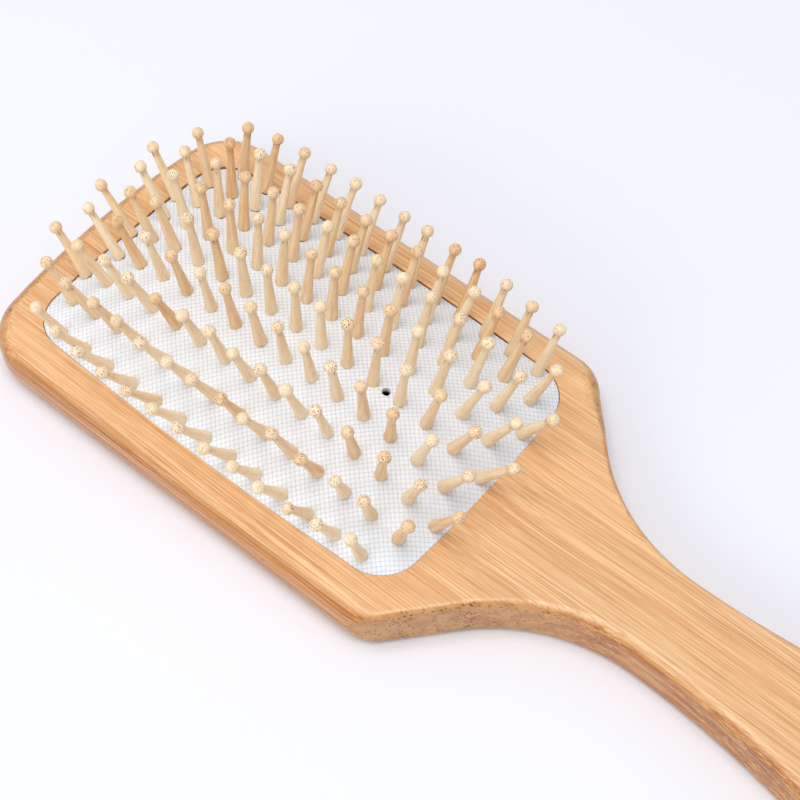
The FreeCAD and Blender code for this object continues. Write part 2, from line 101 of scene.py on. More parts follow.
# How far the pins differ from each other: least and most, unless the comment says otherwise.
LEAN_SPREAD = 0.022                                    # standard deviation
BALL_WIDTHS, BALL_LENGTHS = (0.95, 1.03), (0.93, 1.03)
SHANK_WIDTHS, PIN_LENGTHS = (0.94, 1.05), (0.985, 1.015)
OVALNESS, THREE_SIDEDNESS = 0.014, 0.01                # share of the radius
MOST_BOW, MOST_SHIFT = 0.12, 90                        # mm
TONE_SHAPE = (1.1, 2.8)                                # of a beta distribution
SPECK_STRENGTHS = (0.55, 1.0)


# ---------------------------------------------------------------- small helpers
def new_mesh(name, points, faces):
    """A smooth mesh object with no parent, in the row frame."""
    mesh = bpy.data.meshes.new(name)
    mesh.from_pydata([tuple(p) for p in points], [], [tuple(f) for f in faces])
    mesh.update()
    mesh.shade_smooth()
    obj = bpy.data.objects.new(name, mesh)
    bpy.context.scene.collection.objects.link(obj)
    return obj


def point_attribute(obj, name, kind, values):
    """A named value per vertex, for the materials."""
    attribute = obj.data.attributes.new(name, kind, "POINT")
    field = "vector" if kind == "FLOAT_VECTOR" else "value"
    attribute.data.foreach_set(field, np.asarray(values, np.float32).ravel())


class Nodes:
    """Builds one material's node tree. Inputs given as sockets are linked, and others are set."""

    def __init__(self, name):
        self.material = bpy.data.materials.new(name)
        self.material.use_nodes = True
        self.tree = self.material.node_tree
        self.tree.nodes.clear()

    def add(self, kind, inputs=None, **settings):
        node = self.tree.nodes.new("ShaderNode" + kind)
        for key, value in settings.items():
            setattr(node, key, value)
        for key, value in (inputs or {}).items():
            if isinstance(value, bpy.types.NodeSocket):
                self.tree.links.new(value, node.inputs[key])
            else:
                node.inputs[key].default_value = value
        return node

    def math(self, operation, *values):
        return self.add("Math", dict(enumerate(values)), operation=operation).outputs[0]

    def vector(self, operation, first, second):
        key = "Scale" if operation == "SCALE" else 1
        node = self.add("VectorMath", {0: first, key: second}, operation=operation)
        return node.outputs[0]

    def noise(self, vector, scale, detail=2.0, roughness=0.5):
        inputs = {"Vector": vector, "Scale": scale, "Detail": detail, "Roughness": roughness}
        return self.add("TexNoise", inputs).outputs["Fac"]

    def span(self, value, low, high, to_low=0.0, to_high=1.0):
        """Value between low and high, spread smoothly over to_low to to_high."""
        inputs = {
            "Value": value, "From Min": low, "From Max": high, "To Min": to_low, "To Max": to_high,
        }
        return self.add("MapRange", inputs, interpolation_type="SMOOTHSTEP").outputs[0]

    def mix(self, factor, first, second, blend="MIX"):
        node = self.add("Mix", data_type="RGBA", blend_type=blend)
        for key, value in (("Factor_Float", factor), ("A_Color", first), ("B_Color", second)):
            socket = next(s for s in node.inputs if s.identifier == key)
            if isinstance(value, bpy.types.NodeSocket):
                self.tree.links.new(value, socket)
            else:
                socket.default_value = value
        return next(s for s in node.outputs if s.identifier == "Result_Color")

    def bump(self, height, distance):
        inputs = {"Height": height, "Distance": distance, "Strength": 1.0}
        return self.add("Bump", inputs).outputs[0]

    def finish(self, **inputs):
        """Principled shader with these inputs, wired to the output."""
        named = {key.replace("_", " "): value for key, value in inputs.items()}
        shader = self.add("BsdfPrincipled", named)
        self.add("OutputMaterial", {"Surface": shader.outputs[0]})
        return self.material


def colour(red, green, blue):
    """Linear colour, with alpha, from 8-bit sRGB."""
    def linear(value):
        share = value / 255
        return share / 12.92 if share <= 0.04045 else ((share + 0.055) / 1.055) ** 2.4
    return (linear(red), linear(green), linear(blue), 1.0)


WOOD_LIGHT, WOOD_DEEP = colour(250, 203, 150), colour(233, 175, 120)
BAND_LIGHT, BAND_DARK = colour(253, 214, 164), colour(220, 160, 104)
FLANK_LIGHT, FLANK_DEEP, FLANK_BAND = colour(232, 207, 160), colour(194, 151, 92), colour(164, 122, 66)
HAIR_LIGHT, HAIR_DARK = colour(255, 224, 182), colour(186, 120, 66)
END_LIGHT, END_DEEP = colour(216, 162, 104), colour(198, 142, 86)
FIBRE_END, PORE = colour(122, 68, 30), colour(92, 56, 30)
PIN_LIGHT, PIN_LIGHT_TONED = colour(255, 240, 210), colour(243, 202, 148)
PIN_DEEP, PIN_DEEP_TONED = colour(252, 228, 190), colour(222, 168, 110)
PIN_THREAD, PIN_SPECK = colour(216, 162, 106), colour(160, 94, 46)
THREAD_LIGHT, THREAD_DEEP = colour(249, 252, 255), colour(240, 246, 253)
WEAVE_GAP_SHADE, WEAVE_CORNER_SHADE, SLUB = colour(203, 208, 218), colour(158, 165, 182), colour(226, 228, 234)
RUBBER_LIGHT, RUBBER_DEEP = colour(206, 206, 208), colour(190, 191, 196)
TABLE_DEEP, TABLE_LIGHT = colour(241, 243, 250), colour(243, 245, 251)
STRIP_WIDTH, STRIP_OFFSET = 5.6, 1.7                   # mm


# ---------------------------------------------------------------- bamboo
def fibres(nodes, place, along, across=1.0):
    """place (in mm, fibres along X) stretched along the fibres."""
    return nodes.vector("MULTIPLY", place, (along, across, across))


def bamboo_board_material():
    """Laminated bamboo under a clear lacquer: lengthwise grain, and dots where the fibres end."""
    nodes = Nodes("lacquered_bamboo")
    coordinates = nodes.add("TexCoord")
    place = nodes.vector("SCALE", coordinates.outputs["Object"], 1000.0)
    waves = fibres(nodes, place, 0.012, across=0.03)
    sway = nodes.add("TexNoise", {"Vector": waves, "Scale": 1.0, "Detail": 1.0})
    centred = nodes.vector("SUBTRACT", sway.outputs["Color"], (0.5, 0.5, 0.5))
    place = nodes.vector("ADD", place, nodes.vector("MULTIPLY", centred, (0.0, 2.0, 2.0)))
    facing = nodes.add("SeparateXYZ", {0: coordinates.outputs["Normal"]})
    end_grain = nodes.span(nodes.math("ABSOLUTE", facing.outputs["X"]), 0.16, 0.5)
    flank = nodes.span(nodes.math("ABSOLUTE", facing.outputs["Z"]), 0.985, 0.55)

    # Strips glued side by side: each has its own tone, and its outer side is denser.
    across = nodes.add("SeparateXYZ", {0: place}).outputs["Y"]
    strip = nodes.math("DIVIDE", nodes.math("ADD", across, STRIP_OFFSET), STRIP_WIDTH)
    number = nodes.math("FLOOR", strip)
    chance = nodes.add("TexWhiteNoise", {"W": number}, noise_dimensions="1D").outputs["Value"]
    outer = nodes.math("PINGPONG", strip, 1.0)
    apart = nodes.add("CombineXYZ", {"Y": nodes.math("MULTIPLY", chance, 61.0)}).outputs[0]
    place = nodes.vector("ADD", place, apart)

    bands = nodes.noise(fibres(nodes, place, 0.01), scale=0.45, detail=3.0)
    layers = nodes.noise(fibres(nodes, place, 0.008), scale=1.15, detail=3.0, roughness=0.6)
    streaks = nodes.noise(fibres(nodes, place, 0.007), scale=2.6, detail=5.0, roughness=0.75)
    hairs = nodes.noise(fibres(nodes, place, 0.009), scale=5.0, detail=2.0, roughness=0.5)
    blotches = nodes.noise(fibres(nodes, place, 0.3), scale=0.35, detail=3.0, roughness=0.6)

    base = nodes.mix(nodes.span(streaks, 0.42, 0.58), WOOD_LIGHT, WOOD_DEEP)
    base = nodes.mix(nodes.span(bands, 0.46, 0.66, 0.0, 0.5), base, BAND_DARK)
    base = nodes.mix(nodes.span(bands, 0.46, 0.3, 0.0, 0.5), base, BAND_LIGHT)
    tone = nodes.span(chance, 0.0, 1.0, 0.94, 1.03)
    grey = nodes.add("CombineColor", {0: tone, 1: tone, 2: tone}).outputs[0]
    base = nodes.mix(1.0, base, grey, "MULTIPLY")
    # Sides and rounded edges, by how far the surface turns from up: deeper and more streaked. Partly
    # the strips' own side faces, partly painted shade for the dimmer light the sides get.
    flank_tint_and_shade = nodes.mix(nodes.span(layers, 0.45, 0.54), FLANK_LIGHT, FLANK_DEEP)
    flank_tint_and_shade = nodes.mix(nodes.span(bands, 0.5, 0.62, 0.0, 0.4), flank_tint_and_shade, FLANK_BAND)
    base = nodes.mix(nodes.math("MULTIPLY", flank, 0.95), base, flank_tint_and_shade, "MULTIPLY")
    dark_hair = nodes.span(hairs, 0.55, 0.62)
    light_hair = nodes.span(hairs, 0.43, 0.36)
    darker = nodes.math("MULTIPLY", dark_hair, nodes.span(flank, 0.0, 1.0, 0.42, 0.6))
    base = nodes.mix(darker, base, HAIR_DARK)
    base = nodes.mix(nodes.math("MULTIPLY", light_hair, 0.45), base, HAIR_LIGHT)

    # Cut ends: mottled, with the fibre bundles as dots that are larger in the strip's open side.
    ends = nodes.mix(nodes.span(blotches, 0.42, 0.6), END_LIGHT, END_DEEP)
    base = nodes.mix(nodes.math("MULTIPLY", end_grain, 0.94), base, ends)
    dots = None
    for scale, largest, weight in ((1.4, 0.44, 1.0), (2.7, 0.36, 0.7)):
        bundles = {"Vector": fibres(nodes, place, 0.16), "Scale": scale, "Randomness": 0.9}
        cell = nodes.add("TexVoronoi", bundles)
        random_size = nodes.add("SeparateColor", {0: cell.outputs["Color"]}).outputs[0]
        size = nodes.math("MULTIPLY", nodes.span(random_size, 0.0, 1.0, 0.55, 1.0),
                          nodes.span(outer, 0.0, 1.0, largest, 0.7 * largest))
        spot = nodes.span(nodes.math("DIVIDE", cell.outputs["Distance"], size), 1.0, 0.6, 0.0, weight)
        dots = spot if dots is None else nodes.math("MAXIMUM", dots, spot)
    on_ends = nodes.math("MULTIPLY", end_grain, 0.95)
    shown = nodes.math("MAXIMUM", on_ends, nodes.math("MULTIPLY", flank, 0.16))
    base = nodes.mix(nodes.math("MULTIPLY", dots, shown), base, FIBRE_END)

    # A few tiny dark pores in the sides.
    cell = nodes.add("TexVoronoi", {"Vector": fibres(nodes, place, 0.4), "Scale": 0.2})
    pores = nodes.math("MULTIPLY", nodes.span(cell.outputs["Distance"], 0.05, 0.03), flank)
    base = nodes.mix(nodes.math("MULTIPLY", pores, 0.8), base, PORE)

    grain = nodes.math("SUBTRACT", streaks, nodes.math("MULTIPLY", dark_hair, 0.35))
    pits = nodes.math("MULTIPLY", nodes.math("MULTIPLY", dots, end_grain), 0.3)
    grain = nodes.math("SUBTRACT", grain, pits)
    smudge = nodes.noise(place, scale=0.12, detail=4.0, roughness=0.6)
    roughness = nodes.math("ADD", nodes.span(smudge, 0.3, 0.7, 0.36, 0.48),
                           nodes.math("MULTIPLY", streaks, 0.08))
    relief = nodes.bump(grain, 0.05 * MM)
    return nodes.finish(Base_Color=base, Roughness=roughness, Normal=relief, Coat_Weight=0.5,
                        Coat_Roughness=0.17, Coat_IOR=1.45, Specular_IOR_Level=0.25)


def pin_material():
    """Turned bamboo, sanded and unlacquered. Each pin has its own tone and its own bundles."""
    nodes = Nodes("turned_bamboo")
    place = nodes.add("Attribute", attribute_name="pin_place").outputs["Vector"]
    tone = nodes.add("Attribute", attribute_name="pin_tone").outputs["Fac"]
    speck = nodes.add("Attribute", attribute_name="pin_speck").outputs["Fac"]
    ends = nodes.add("Attribute", attribute_name="pin_end").outputs["Fac"]

    streaks = nodes.noise(fibres(nodes, place, 0.05), scale=1.1, detail=3.0, roughness=0.6)
    threads = nodes.noise(fibres(nodes, place, 0.05), scale=3.4, detail=3.0, roughness=0.6)
    pale = nodes.mix(tone, PIN_LIGHT, PIN_LIGHT_TONED)
    deep = nodes.mix(tone, PIN_DEEP, PIN_DEEP_TONED)
    base = nodes.mix(nodes.span(streaks, 0.36, 0.66), pale, deep)
    base = nodes.mix(nodes.span(threads, 0.55, 0.68, 0.0, 0.35), base, PIN_THREAD)

    bundles = {"Vector": fibres(nodes, place, 0.09), "Scale": 2.4, "Randomness": 0.85}
    cell = nodes.add("TexVoronoi", bundles)
    dots = nodes.span(cell.outputs["Distance"], 0.38, 0.24)
    share = nodes.add("SeparateColor", {0: cell.outputs["Color"]}).outputs[0]
    kept = nodes.span(share, 0.1, 0.4, 0.15, 1.0)
    strength = nodes.math("MULTIPLY", speck, nodes.span(ends, 0.0, 0.6, 0.12, 1.0))
    strength = nodes.math("MULTIPLY", strength, kept)
    base = nodes.mix(nodes.math("MULTIPLY", dots, strength), base, PIN_SPECK)

    ridges = nodes.math("MULTIPLY", threads, 0.5)
    grain = nodes.math("SUBTRACT", ridges, nodes.math("MULTIPLY", dots, 0.3))
    relief = nodes.bump(grain, 0.04 * MM)
    roughness = nodes.span(streaks, 0.3, 0.7, 0.5, 0.62)
    return nodes.finish(Base_Color=base, Roughness=roughness, Normal=relief, Specular_IOR_Level=0.35,
                        Coat_Weight=0.12, Coat_Roughness=0.35)


# ---------------------------------------------------------------- cloth and rubber
def cloth_material():
    """White square weave laid on the bias, with painted shade in the gaps between its threads."""
    nodes = Nodes("woven_cloth")
    place = nodes.add("TexCoord").outputs["Object"]
    turned = nodes.add("VectorRotate", {"Vector": place, "Angle": WEAVE_ANGLE},
                       rotation_type="Z_AXIS").outputs[0]
    cells = nodes.vector("SCALE", turned, 1 / WEAVE_PITCH)
    split = nodes.add("SeparateXYZ", {0: cells})
    gaps = []
    for axis in ("X", "Y"):
        share = nodes.math("FRACT", split.outputs[axis])
        away = nodes.math("ABSOLUTE", nodes.math("SUBTRACT", share, 0.5))
        gaps.append(nodes.span(away, 0.30, 0.49))
    gap = nodes.math("MAXIMUM", *gaps)
    corner = nodes.math("MULTIPLY", *gaps)
    long_way = nodes.noise(nodes.vector("MULTIPLY", cells, (0.7, 9.0, 1.0)), scale=1.0)
    cross_way = nodes.noise(nodes.vector("MULTIPLY", cells, (9.0, 0.7, 1.0)), scale=1.0)
    squares = {
        "Vector": nodes.vector("ADD", cells, (0.0, 0.0, 0.5)), "Scale": 1.0,
        "Color1": (0, 0, 0, 1), "Color2": (1, 1, 1, 1),
    }
    checker = nodes.add("TexChecker", squares).outputs["Fac"]
    filament = nodes.math("ADD", nodes.math("MULTIPLY", checker, long_way),
                          nodes.math("MULTIPLY", nodes.math("SUBTRACT", 1.0, checker), cross_way))
    slub = nodes.noise(cells, scale=0.35, detail=3.0, roughness=0.6)
    base = nodes.mix(nodes.span(filament, 0.3, 0.7), THREAD_LIGHT, THREAD_DEEP)
    # Painted shade in the gaps between the threads, darkest where two gaps cross.
    base = nodes.mix(nodes.math("MULTIPLY", gap, 0.5), base, WEAVE_GAP_SHADE)
    base = nodes.mix(nodes.math("MULTIPLY", corner, 0.5), base, WEAVE_CORNER_SHADE)
    base = nodes.mix(nodes.span(slub, 0.45, 0.75, 0.0, 0.3), base, SLUB)
    height = nodes.math("SUBTRACT", nodes.math("MULTIPLY", filament, 0.35), gap)
    relief = nodes.bump(height, 0.06 * MM)
    return nodes.finish(Base_Color=base, Roughness=nodes.span(slub, 0.3, 0.7, 0.78, 0.9), Normal=relief,
                        Specular_IOR_Level=0.2, Sheen_Weight=0.15, Sheen_Roughness=0.5)


def rubber_material():
    """Pale moulded rubber with a fine matt skin."""
    nodes = Nodes("pale_rubber")
    place = nodes.vector("SCALE", nodes.add("TexCoord").outputs["Object"], 1000.0)
    skin = nodes.noise(place, scale=2.5, detail=3.0, roughness=0.6)
    cloud = nodes.noise(place, scale=0.08)
    base = nodes.mix(nodes.span(cloud, 0.35, 0.65), RUBBER_LIGHT, RUBBER_DEEP)
    return nodes.finish(Base_Color=base, Roughness=nodes.span(skin, 0.3, 0.7, 0.5, 0.66),
                        Normal=nodes.bump(skin, 0.03 * MM), Specular_IOR_Level=0.4)


def corner_centre():
    """Centre of the pocket's corner round in the first quadrant, from the pad's centre."""
    end_reach, side_reach = END_BOW - POCKET_CORNER, SIDE_BOW - POCKET_CORNER
    span = math.hypot(END_OFFSET, SIDE_OFFSET)
    along = (end_reach**2 - side_reach**2 + span**2) / (2 * span)
    away = math.sqrt(end_reach**2 - along**2)
    centre_x = -END_OFFSET + (along * END_OFFSET + away * SIDE_OFFSET) / span
    centre_y = (away * END_OFFSET - along * SIDE_OFFSET) / span
    return centre_x, centre_y


CORNER_CENTRE = corner_centre()


def outline_distance(x, y, grow=0.0):
    """Distance from the pocket's bowed outline, grown by grow: below zero inside.

    x is from the pad's centre.
    """
    x, y = np.abs(x), np.abs(y)
    corner_x, corner_y = CORNER_CENTRE
    past_end = y * (corner_x + END_OFFSET) > (x + END_OFFSET) * corner_y
    past_side = x * (corner_y + SIDE_OFFSET) > (y + SIDE_OFFSET) * corner_x
    end = np.hypot(x + END_OFFSET, y) - END_BOW
    side = np.hypot(x, y + SIDE_OFFSET) - SIDE_BOW
    corner = np.hypot(x - corner_x, y - corner_y) - POCKET_CORNER
    return np.where(past_end & past_side, corner, np.maximum(end, side)) - grow


def gradient(distance, x, y, step):
    """Slope of a distance along X and Y."""
    along = (distance(x + step, y) - distance(x - step, y)) / (2 * step)
    across = (distance(x, y + step) - distance(x, y - step)) / (2 * step)
    return along, across


def crown(x, y, depth):
    """Points at a depth below the cushion's domed surface. x is from the pad's centre."""
    long_part, wide_part = 1 - (x / POCKET_LENGTH) ** 4, 1 - (y / POCKET_WIDTH) ** 2
    along = -4 * CROWN_RISE * x**3 / POCKET_LENGTH**4 * wide_part
    across = -2 * CROWN_RISE * y / POCKET_WIDTH**2 * long_part
    normal = np.stack([-along, -across, np.ones_like(x)], 1)
    normal /= np.linalg.norm(normal, axis=1, keepdims=True)
    surface = np.stack([x + PAD_X, y, CROWN_EDGE + CROWN_RISE * long_part * wide_part], 1)
    return surface - normal * np.broadcast_to(depth, x.shape)[:, None]


def rim_drop(x, y):
    """How far the crown is lowered near its rim, so that it starts level with the pocket's edge."""
    gap = outline_distance(x, y)
    along, across = gradient(outline_distance, x, y, SLOPE_STEP)
    rim_x, rim_y = x - gap * along, y - gap * across
    height = CROWN_RISE * (1 - (rim_x / POCKET_LENGTH) ** 4) * (1 - (rim_y / POCKET_WIDTH) ** 2)
    return height * (1 - np.clip(-gap / RIM_REACH, 0, 1)) ** 2


def grid_quads(rows, columns):
    """Quads between the neighbouring points of a grid."""
    corner = (np.arange(rows - 1)[:, None] * columns + np.arange(columns - 1)).ravel()
    return np.stack([corner, corner + columns, corner + columns + 1, corner + 1], 1)


def cushion_grid(step, holes):
    """Square grid over the pad, trimmed to its outline and to round holes, as x, y and quads.

    x is from the pad's centre. holes lists (x, y, radius).
    """
    def distance(x, y):
        edge = outline_distance(x, y, -RIM_GAP)
        for hole_x, hole_y, radius in holes:
            near = (np.abs(x - hole_x) < 4 * radius) & (np.abs(y - hole_y) < 4 * radius)
            reach = radius - np.hypot(x[near] - hole_x, y[near] - hole_y)
            edge[near] = np.maximum(edge[near], reach)
        return edge

    xs = np.arange(-int(POCKET_LENGTH / step) - 1, int(POCKET_LENGTH / step) + 2) * step
    ys = np.arange(-int(POCKET_WIDTH / step) - 1, int(POCKET_WIDTH / step) + 2) * step
    x, y = (a.ravel() for a in np.meshgrid(xs, ys, indexing="ij"))
    quads = grid_quads(len(xs), len(ys))
    inside = distance(x, y) < -0.3 * step
    quads = quads[inside[quads].any(1)]
    rim = np.unique(quads[~inside[quads]])
    for _ in range(4):
        gap = distance(x[rim], y[rim])
        along, across = gradient(distance, x[rim], y[rim], 0.01 * step)
        steep = np.maximum(along**2 + across**2, 0.5)
        x[rim] -= gap * along / steep
        y[rim] -= gap * across / steep
    used, quads = np.unique(quads, return_inverse=True)
    return x[used], y[used], quads.reshape(-1, 4)


def rim_edges(quads):
    """Edges that belong to one quad only, in that quad's direction."""
    edges = np.concatenate([quads[:, [k, (k + 1) % 4]] for k in range(4)])
    key = edges.min(1).astype(np.int64) * (edges.max() + 1) + edges.max(1)
    _, first, count = np.unique(key, return_index=True, return_counts=True)
    return edges[first[count == 1]]


def wall(upper, lower):
    """Quads between two loops of edges."""
    return np.stack([upper[:, 1], upper[:, 0], lower[:, 0], lower[:, 1]], 1)


def closed_shell(name, x, y, quads, top, bottom, rings):
    """Closed form between two surfaces on one grid.

    rings are (outward shift, height) of the loops down its rim.
    """
    count = len(x)
    edges = rim_edges(quads)
    on_outline = outline_distance(x[edges[:, 0]], y[edges[:, 0]]) > -5 * RIM_GAP
    holes, rim = edges[~on_outline], edges[on_outline]
    loop, upper = np.unique(rim, return_inverse=True)
    upper = upper.reshape(-1, 2)
    along, across = gradient(outline_distance, x[loop], y[loop], SLOPE_STEP)
    points, faces = [top, bottom], [quads, quads[:, ::-1] + count, wall(holes, holes + count)]
    previous, total = rim, 2 * count
    for shift, height in rings:
        ring = np.stack([x[loop] + PAD_X + shift * along, y[loop] + shift * across], 1)
        points.append(np.column_stack([ring, np.full(len(loop), height)]))
        faces.append(wall(previous, upper + total))
        previous = upper + total
        total += len(loop)
    faces.append(wall(previous, rim + count))
    return new_mesh(name, np.concatenate(points), np.concatenate(faces))


def seated(x, y):
    """How closely the cloth meets the board: 1 at its -Y and handle sides, and 0 at the far corner."""
    share = 0.5 + SEAT_TILT * x / POCKET_LENGTH - SEAT_TILT * y / POCKET_WIDTH
    return np.clip(2 * share - SEAT_LOOSE, 0, 1)


def weave(x, y):
    """Height of a plain weave laid on the bias, from 0 in the gaps to 1 on the threads."""
    u = (x + y) / math.sqrt(2) / WEAVE_PITCH
    v = (y - x) / math.sqrt(2) / WEAVE_PITCH
    over = np.cos(math.pi * (np.floor(u) + np.floor(v)))
    ridge_u, ridge_v = np.abs(np.sin(math.pi * u)), np.abs(np.sin(math.pi * v))
    warp = ridge_u * (THREAD_LEVEL + THREAD_SWING * over * ridge_v)
    weft = ridge_v * (THREAD_LEVEL - THREAD_SWING * over * ridge_u)
    return np.maximum(warp, weft)


def settled_cloth(feet):
    """Lift of the cloth between the pins under air pressure, on a square grid, and that grid's lines.

    The cloth is held at its rim and under every pin. It is simulated at ten times its size.
    """
    xs = np.arange(-POCKET_LENGTH, POCKET_LENGTH + PRESSED_STEP, PRESSED_STEP)
    ys = np.arange(-POCKET_WIDTH, POCKET_WIDTH + PRESSED_STEP, PRESSED_STEP)
    grid_x, grid_y = np.meshgrid(xs, ys, indexing="ij")
    x, y = grid_x.ravel(), grid_y.ravel()
    quads = grid_quads(len(xs), len(ys))
    flat = np.stack([x, y, np.zeros_like(x)], 1)
    obj = new_mesh("cloth_simulation", flat * PRESSED_SCALE, quads)
    held = outline_distance(x, y) > -RIM_HELD * PRESSED_STEP
    for foot_x, foot_y in feet:
        held |= np.hypot(x - foot_x, y - foot_y) < FOOT_RADIUS + FOOT_HELD
    group = obj.vertex_groups.new(name="held")
    group.add([int(k) for k in np.flatnonzero(held)], 1.0, "REPLACE")
    cloth = obj.modifiers.new("Cloth", "CLOTH")
    cloth.settings.vertex_group_mass = "held"
    cloth.settings.quality = PRESSED_QUALITY
    cloth.settings.tension_stiffness = cloth.settings.compression_stiffness = CLOTH_STIFFNESS
    cloth.settings.use_pressure = True
    cloth.settings.uniform_pressure_force = AIR_PRESSURE
    cloth.settings.effector_weights.gravity = 0.0
    for number in range(1, PRESSED_FRAMES + 1):
        bpy.context.scene.frame_set(number)
    settled = obj.evaluated_get(bpy.context.evaluated_depsgraph_get()).data
    lift = np.array([vertex.co.z for vertex in settled.vertices])
    lift = lift.reshape(grid_x.shape) / PRESSED_SCALE
    bpy.data.objects.remove(obj)
    bpy.context.scene.frame_set(1)
    return np.clip(lift, 0, MOST_LIFT), xs, ys


def between(values, xs, ys, x, y):
    """Smoothly read a grid of values at points."""
    step = xs[1] - xs[0]
    i = np.clip((x - xs[0]) / step, 0, len(xs) - 1.001)
    j = np.clip((y - ys[0]) / step, 0, len(ys) - 1.001)
    low_i, low_j = i.astype(int), j.astype(int)
    part_i, part_j = i - low_i, j - low_j
    near = values[low_i, low_j] * (1 - part_j) + values[low_i, low_j + 1] * part_j
    far = values[low_i + 1, low_j] * (1 - part_j) + values[low_i + 1, low_j + 1] * part_j
    return near * (1 - part_i) + far * part_i


# ---------------------------------------------------------------- pins
def pin_axes(node):
    """Each pin of a CAD row as (middle of its foot, unit axis towards its ball), in order of Y."""
    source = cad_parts[node]
    matrix = np.array(source.matrix_world)
    points = np.empty(len(source.data.vertices) * 3)
    source.data.vertices.foreach_get("co", points)
    points = points.reshape(-1, 3) @ matrix[:3, :3].T + matrix[:3, 3]
    rounded = np.round(points / SAME_POINT)
    _, first_of, same = np.unique(rounded, axis=0, return_index=True, return_inverse=True)
    points = points[first_of]
    edges = np.empty(len(source.data.edges) * 2, int)
    source.data.edges.foreach_get("vertices", edges)
    first, second = same.ravel()[edges].reshape(-1, 2).T
    label, before = np.arange(len(points)), None
    while before is None or (label != before).any():
        before = label.copy()
        lowest = np.minimum(label[first], label[second])
        np.minimum.at(label, first, lowest)
        np.minimum.at(label, second, lowest)
        label = label[label]
    pins = []
    for root in np.unique(label):
        cloud = points[label == root]
        middle = cloud.mean(0)
        axis = np.linalg.svd(cloud - middle, full_matrices=False)[2][0]
        axis *= np.sign(axis[2])
        top = middle + axis * ((cloud - middle) @ axis).max()
        pins.append((top - axis * (BALL_RADIUS + BALL_HEIGHT), axis))
    return sorted(pins, key=lambda pin: pin[0][1])


def pin_profile():
    """(height, radius, share of end grain) along the pin's side, from stem head to ball top."""
    under, neck_angle = -STEM_LENGTH, math.acos(NECK_RADIUS / BALL_RADIUS)
    neck_height = BALL_HEIGHT - BALL_RADIUS * math.sin(neck_angle)
    shape = [
        (under - STEM_HEAD_THICKNESS, 0.0, 1.0),
        (under - STEM_HEAD_THICKNESS, STEM_HEAD_RADIUS, 0.5),
        (under, STEM_HEAD_RADIUS, 0.5),
        (under, STEM_RADIUS, 0.5),
        (-FOOT_SINK, STEM_RADIUS, 0.5),
        (-FOOT_SINK, FOOT_RADIUS - FOOT_ROUND, 1.0),
        (0.3 * FOOT_ROUND, FOOT_RADIUS - 0.3 * FOOT_ROUND, 0.6),
        (FOOT_ROUND, FOOT_RADIUS, 0.1),
    ]
    for share in np.linspace(0, 1, FLARE_RINGS)[1:-1]:
        flare = (1 - share) ** FLARE_POWER
        height = FOOT_ROUND + (neck_height - FOOT_ROUND) * share
        shape.append((height, NECK_RADIUS + (FOOT_RADIUS - NECK_RADIUS) * flare, 0.05))
    for angle in np.linspace(-neck_angle, math.pi / 2, BALL_RINGS):
        ring = (BALL_HEIGHT + BALL_RADIUS * math.sin(angle), BALL_RADIUS * math.cos(angle))
        shape.append((*ring, abs(math.sin(angle))))
    return np.array(shape)


def turned_pin(profile, foot, axis, chance):
    """Points and quads of one turned pin, a little out of true, with its values for the material."""
    lean = Vector((chance.gauss(0, LEAN_SPREAD), chance.gauss(0, LEAN_SPREAD), 0.0))
    axis = (Vector(axis) + lean).normalized()
    turn = axis.to_track_quat("Z", "Y").to_matrix()
    height, radius, ends = profile.T
    height, radius = height.copy(), radius.copy()
    ball = height > BALL_HEIGHT - 0.9 * BALL_RADIUS
    above = height > FOOT_ROUND
    radius[ball] *= chance.uniform(*BALL_WIDTHS)
    height[ball] = BALL_HEIGHT + (height[ball] - BALL_HEIGHT) * chance.uniform(*BALL_LENGTHS)
    radius[above & ~ball] *= chance.uniform(*SHANK_WIDTHS)
    height[above] *= chance.uniform(*PIN_LENGTHS)
    angle = np.arange(PIN_SIDES) * 2 * math.pi / PIN_SIDES
    oval = OVALNESS * np.cos(2 * angle + chance.uniform(0, 6))
    three_sided = THREE_SIDEDNESS * np.cos(3 * angle + chance.uniform(0, 6))
    lobes = 1 + oval + three_sided
    half_wave = np.sin(np.clip(height / BALL_HEIGHT, 0, 1) * math.pi)
    bow = chance.uniform(-MOST_BOW, MOST_BOW) * MM * half_wave
    local = np.stack([
        radius[:, None] * lobes * np.cos(angle) + bow[:, None],
        radius[:, None] * lobes * np.sin(angle),
        np.repeat(height[:, None], PIN_SIDES, 1),
    ], 2).reshape(-1, 3)
    points = local @ np.array(turn).T + foot
    ring = np.arange(len(profile) - 1)[:, None] * PIN_SIDES
    side = np.arange(PIN_SIDES)
    start = (ring + side).ravel()
    onward = (ring + (side + 1) % PIN_SIDES).ravel()
    quads = np.stack([start, onward, onward + PIN_SIDES, start + PIN_SIDES], 1)
    shift = [chance.uniform(-MOST_SHIFT, MOST_SHIFT) for _ in range(3)]
    place = local[:, [2, 0, 1]] / MM + shift
    return points, quads, place, np.repeat(ends, PIN_SIDES)


